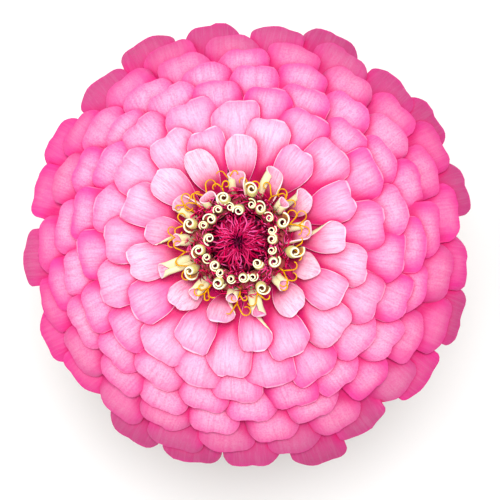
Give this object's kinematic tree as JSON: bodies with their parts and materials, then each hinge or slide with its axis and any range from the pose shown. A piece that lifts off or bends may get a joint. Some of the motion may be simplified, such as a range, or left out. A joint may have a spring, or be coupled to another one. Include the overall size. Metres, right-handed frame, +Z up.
{
  "type": "potted zinnia",
  "caption": "Fully double zinnia with tiled pink rays, cream rolled centre and gold styles on a leafy stem in a plain clay pot.",
  "frame": {"origin": "centre of the pot's flat base, on the surface it stands on", "axes": "+Z up along the pot's axis towards the bloom; the bloom leans 4 degrees towards -X"},
  "size_m": [0.1161, 0.1144, 0.2525],
  "materials": {
    "clay": "matte",
    "soil": "matte",
    "stem": "matte",
    "leaf": "matte",
    "bract": "matte",
    "petal": "matte",
    "cream": "matte",
    "crimson": "matte"
  },
  "bodies": {
    "root": {"pot": "clay", "soil": "soil", "stem": "stem", "leaf_1_a": "leaf", "leaf_1_b": "leaf", "leaf_2_a": "leaf", "leaf_2_b": "leaf", "leaf_3_a": "leaf", "leaf_3_b": "leaf", "leaf_4_a": "leaf", "leaf_4_b": "leaf", "leaf_5_a": "leaf", "leaf_5_b": "leaf", "involucre": "bract", "ray_petals": "petal", "inner_rays": "cream", "disc": "crimson"}
  },
  "joints": []
}
